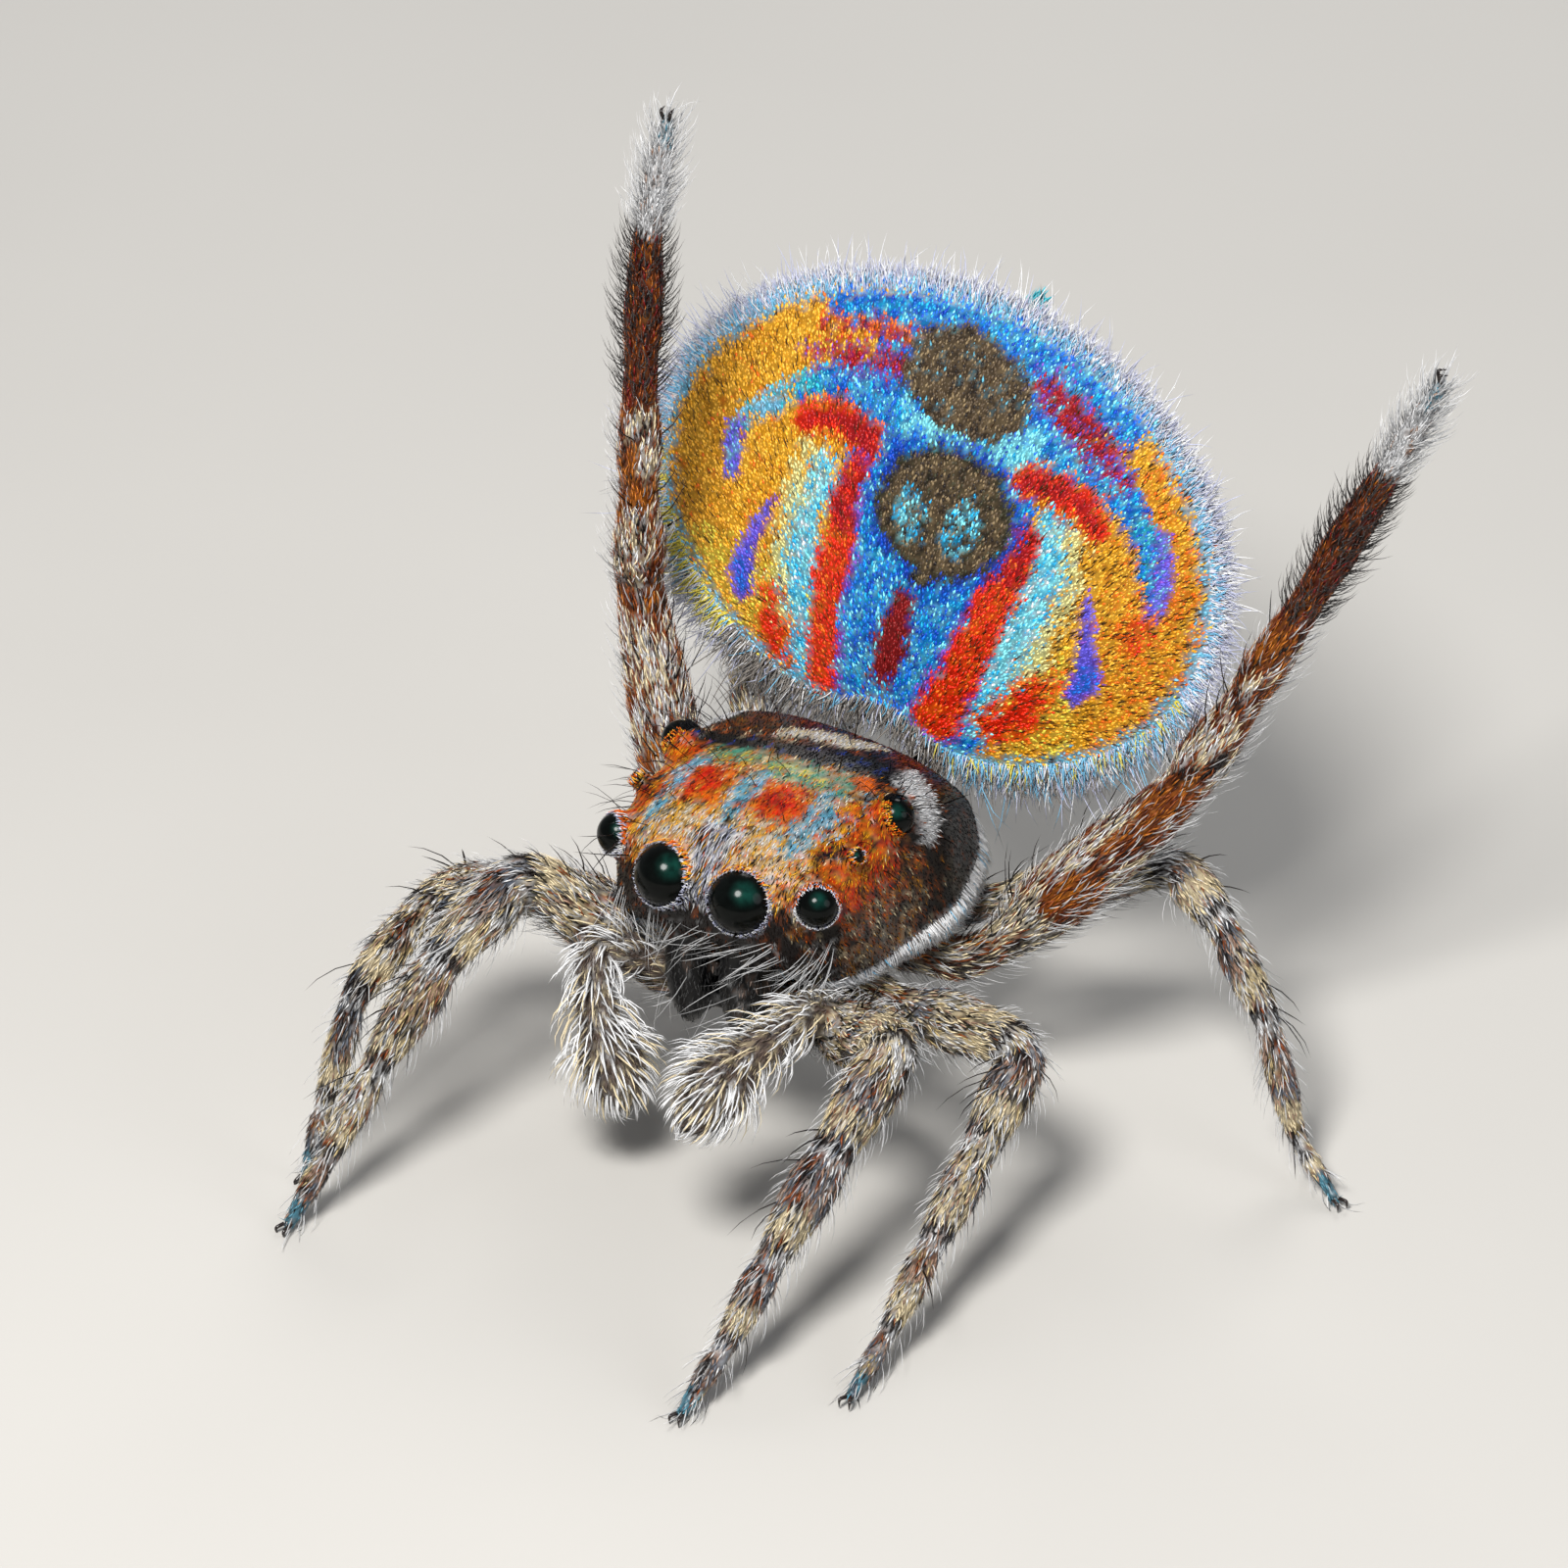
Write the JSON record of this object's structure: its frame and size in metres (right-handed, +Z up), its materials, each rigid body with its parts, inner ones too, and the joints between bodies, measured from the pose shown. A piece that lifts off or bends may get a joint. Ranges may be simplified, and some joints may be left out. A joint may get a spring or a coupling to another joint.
{
  "type": "peacock spider, still museum model",
  "caption": "Male peacock jumping spider in its display stance, with the coloured fan raised and spread and the third pair of legs lifted.",
  "frame": {"origin": "on the floor, under the middle of the whole animal's box", "axes": "+Z up; the spider faces -Y and its left side is +X"},
  "size_m": [0.005, 0.0058, 0.0049],
  "materials": {
    "carapace_scales": "iridescent scales in turquoise, orange and cream over dark cuticle",
    "eye_lens": "glossy black",
    "dark_cuticle": "dark, slightly glossy cuticle with sparse pale hair",
    "fan_scales": "iridescent scales in gold, blue, turquoise and red",
    "belly_hair": "soft grey-white hair",
    "palp_hair": "long cream-white bristles over pinkish-brown cuticle",
    "leg_cuticle": "grey and cream scales with dark rings and fine white hair",
    "display_leg_cuticle": "rust-brown cuticle with white hair, black fringe on the metatarsus",
    "display_foot_hair": "dense white brush of hair"
  },
  "bodies": {
    "root": {"abdomen": "fan_scales", "carapace": "carapace_scales", "chelicera_left": "dark_cuticle", "chelicera_right": "dark_cuticle", "eye_anterior_lateral_left": "eye_lens", "eye_anterior_lateral_right": "eye_lens", "eye_anterior_median_left": "eye_lens", "eye_anterior_median_right": "eye_lens", "eye_posterior_lateral_left": "eye_lens", "eye_posterior_lateral_right": "eye_lens", "eye_posterior_median_left": "eye_lens", "eye_posterior_median_right": "eye_lens", "fan_flap_left": "fan_scales", "fan_flap_right": "fan_scales", "leg_1_left_femur": "leg_cuticle", "leg_1_left_metatarsus": "leg_cuticle", "leg_1_left_tarsus": "leg_cuticle", "leg_1_left_tibia": "leg_cuticle", "leg_1_right_femur": "leg_cuticle", "leg_1_right_metatarsus": "leg_cuticle", "leg_1_right_tarsus": "leg_cuticle", "leg_1_right_tibia": "leg_cuticle", "leg_2_left_femur": "leg_cuticle", "leg_2_left_metatarsus": "leg_cuticle", "leg_2_left_tarsus": "leg_cuticle", "leg_2_left_tibia": "leg_cuticle", "leg_2_right_femur": "leg_cuticle", "leg_2_right_metatarsus": "leg_cuticle", "leg_2_right_tarsus": "leg_cuticle", "leg_2_right_tibia": "leg_cuticle", "leg_3_left_femur": "display_leg_cuticle", "leg_3_left_metatarsus": "display_leg_cuticle", "leg_3_left_tarsus": "display_foot_hair", "leg_3_left_tibia": "display_leg_cuticle", "leg_3_right_femur": "display_leg_cuticle", "leg_3_right_metatarsus": "display_leg_cuticle", "leg_3_right_tarsus": "display_foot_hair", "leg_3_right_tibia": "display_leg_cuticle", "leg_4_left_femur": "leg_cuticle", "leg_4_left_metatarsus": "leg_cuticle", "leg_4_left_tarsus": "leg_cuticle", "leg_4_left_tibia": "leg_cuticle", "leg_4_right_femur": "leg_cuticle", "leg_4_right_metatarsus": "leg_cuticle", "leg_4_right_tarsus": "leg_cuticle", "leg_4_right_tibia": "leg_cuticle", "palp_left": "palp_hair", "palp_left_tip": "palp_hair", "palp_right": "palp_hair", "palp_right_tip": "palp_hair", "pedicel": "dark_cuticle", "spinnerets": "belly_hair", "sternum": "dark_cuticle"}
  },
  "joints": []
}
